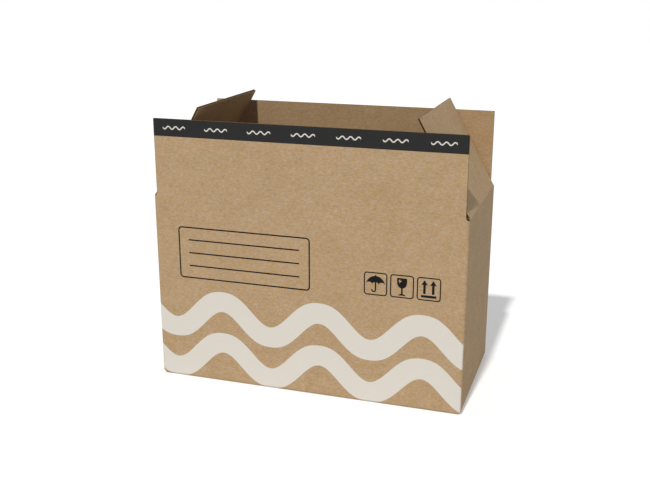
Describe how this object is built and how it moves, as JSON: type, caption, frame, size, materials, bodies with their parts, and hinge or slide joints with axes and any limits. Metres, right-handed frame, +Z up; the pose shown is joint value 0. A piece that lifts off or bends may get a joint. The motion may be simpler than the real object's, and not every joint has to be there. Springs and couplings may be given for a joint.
{
  "type": "corrugated box",
  "caption": "Open slotted corrugated box with upright long flaps, short flaps leaning inwards, and a closed glued bottom; holds and ships goods.",
  "frame": {"origin": "middle of the box's underside, where it rests", "axes": "+Z up, -Y out of the front wall, +X to the right along the box's length"},
  "size_m": [0.4, 0.191, 0.3565],
  "materials": {
    "kraft_board": "matte uncoated kraft paper"
  },
  "bodies": {
    "carton": {"carton": "kraft_board"},
    "front_flap": {"front_flap": "kraft_board"},
    "back_flap": {"back_flap": "kraft_board"},
    "left_flap": {"left_flap": "kraft_board"},
    "right_flap": {"right_flap": "kraft_board"}
  },
  "joints": [
    {"name": "front_crease", "type": "hinge", "parent": "carton", "child": "front_flap", "pos_m": [0, -0.0955, 0.247], "axis": [1, 0, 0], "range_deg": [0, 165]},
    {"name": "back_crease", "type": "hinge", "parent": "carton", "child": "back_flap", "pos_m": [0, 0.0955, 0.247], "axis": [-1, 0, 0], "range_deg": [0, 165]},
    {"name": "left_crease", "type": "hinge", "parent": "carton", "child": "left_flap", "pos_m": [-0.2, 0, 0.2437], "axis": [0, -1, 0], "range_deg": [-61, 194]},
    {"name": "right_crease", "type": "hinge", "parent": "carton", "child": "right_flap", "pos_m": [0.2, 0, 0.2437], "axis": [0, 1, 0], "range_deg": [-61, 194]}
  ]
}
